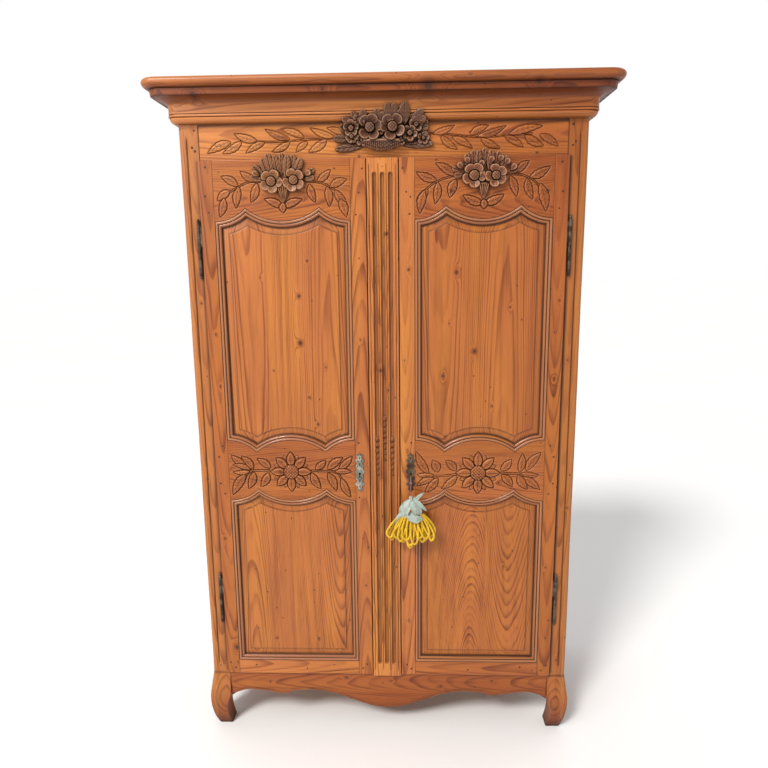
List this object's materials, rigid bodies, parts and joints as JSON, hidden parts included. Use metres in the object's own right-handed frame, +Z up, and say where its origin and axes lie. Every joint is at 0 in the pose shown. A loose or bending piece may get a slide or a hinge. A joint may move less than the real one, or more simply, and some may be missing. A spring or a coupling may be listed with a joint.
{
  "type": "armoire",
  "caption": "Tall two-door pine armoire with a moulded cornice, carved serpentine-panelled doors hung on barrel hinges either side of a fluted post, a shelf, rim locks and a tasselled key.",
  "frame": {"origin": "on the floor, at the centre of the overall box", "axes": "+Z up, +Y towards the back, +X to the right as seen from the front"},
  "size_m": [1.42, 0.615, 2.182],
  "materials": {
    "ochre_pine": "worn wax over ochre pine",
    "waxed_pine": "waxed honey-coloured antique pine",
    "raw_pine": "unfinished aged pine",
    "carved_pine": "carved, darkened and waxed",
    "dark_carving": "carved, dark and dusty",
    "black_iron": "forged and aged",
    "silvered_metal": "tarnished silvery plate",
    "aged_bronze": "dark patina",
    "rose_cord": "twisted cord",
    "gold_fringe": "bullion fringe under a pale ribbon"
  },
  "bodies": {
    "carcass": {"front_post_right": "ochre_pine", "front_post_left": "ochre_pine", "rear_post_right": "ochre_pine", "rear_post_left": "ochre_pine", "frieze_rail": "waxed_pine", "apron_rail": "waxed_pine", "centre_post": "waxed_pine", "cornice_moulding": "waxed_pine", "side_top_rail_left": "waxed_pine", "side_middle_rail_left": "waxed_pine", "side_bottom_rail_left": "waxed_pine", "side_upper_panel_left": "waxed_pine", "side_lower_panel_left": "waxed_pine", "left_lower_hinge_post_half": "black_iron", "left_upper_hinge_post_half": "black_iron", "shelf_cleat_left": "raw_pine", "side_top_rail_right": "waxed_pine", "side_middle_rail_right": "waxed_pine", "side_bottom_rail_right": "waxed_pine", "side_upper_panel_right": "waxed_pine", "side_lower_panel_right": "waxed_pine", "right_lower_hinge_post_half": "black_iron", "right_upper_hinge_post_half": "black_iron", "shelf_cleat_right": "raw_pine", "basket_carving": "dark_carving", "back_top_rail": "raw_pine", "back_bottom_rail": "raw_pine", "back_boards": "raw_pine", "floor_boards": "raw_pine", "shelf": "raw_pine", "top_boards": "raw_pine"},
    "left_door": {"left_hinge_stile": "waxed_pine", "left_lock_stile": "waxed_pine", "left_top_rail": "waxed_pine", "left_middle_rail": "waxed_pine", "left_bottom_rail": "waxed_pine", "left_upper_panel": "waxed_pine", "left_lower_panel": "waxed_pine", "left_flower_carving": "carved_pine", "left_escutcheon": "silvered_metal", "left_lock_case": "black_iron", "left_lower_hinge_door_half": "black_iron", "left_upper_hinge_door_half": "black_iron"},
    "right_door": {"right_hinge_stile": "waxed_pine", "right_lock_stile": "waxed_pine", "right_top_rail": "waxed_pine", "right_middle_rail": "waxed_pine", "right_bottom_rail": "waxed_pine", "right_upper_panel": "waxed_pine", "right_lower_panel": "waxed_pine", "right_flower_carving": "carved_pine", "right_escutcheon": "aged_bronze", "right_lock_case": "black_iron", "right_lower_hinge_door_half": "black_iron", "right_upper_hinge_door_half": "black_iron"},
    "left_bolt": {"left_bolt": "black_iron"},
    "right_bolt": {"right_bolt": "black_iron"},
    "key": {"key": "aged_bronze"},
    "tassel": {"tassel_cord": "rose_cord", "tassel": "gold_fringe"}
  },
  "joints": [
    {"name": "left_door_hinge", "type": "hinge", "parent": "carcass", "child": "left_door", "pos_m": [-0.5775, -0.2295, 1.08], "axis": [0, 0, -1], "range_deg": [0, 170]},
    {"name": "right_door_hinge", "type": "hinge", "parent": "carcass", "child": "right_door", "pos_m": [0.5775, -0.2295, 1.08], "axis": [0, 0, 1], "range_deg": [0, 170]},
    {"name": "left_bolt_slide", "type": "slide", "parent": "left_door", "child": "left_bolt", "axis": [1, 0, 0], "range_m": [0, 0.014]},
    {"name": "key_turn", "type": "hinge", "parent": "right_door", "child": "key", "pos_m": [0.0845, -0.2325, 0.953], "axis": [0, 1, 0], "range_deg": [0, 180], "deforming": ["tassel_cord"]},
    {"name": "right_bolt_slide", "type": "slide", "parent": "right_door", "child": "right_bolt", "axis": [-1, 0, 0], "range_m": [0, 0.014]},
    {"name": "tassel_swing", "type": "hinge", "parent": "right_door", "child": "tassel", "pos_m": [0.0845, -0.28325, 0.953], "axis": [0, 1, 0], "range_deg": [-25, 25]}
  ],
  "couplings": [
    {"joint": "key_turn", "follows": "right_bolt_slide", "rad_per_m": 224.39}
  ]
}
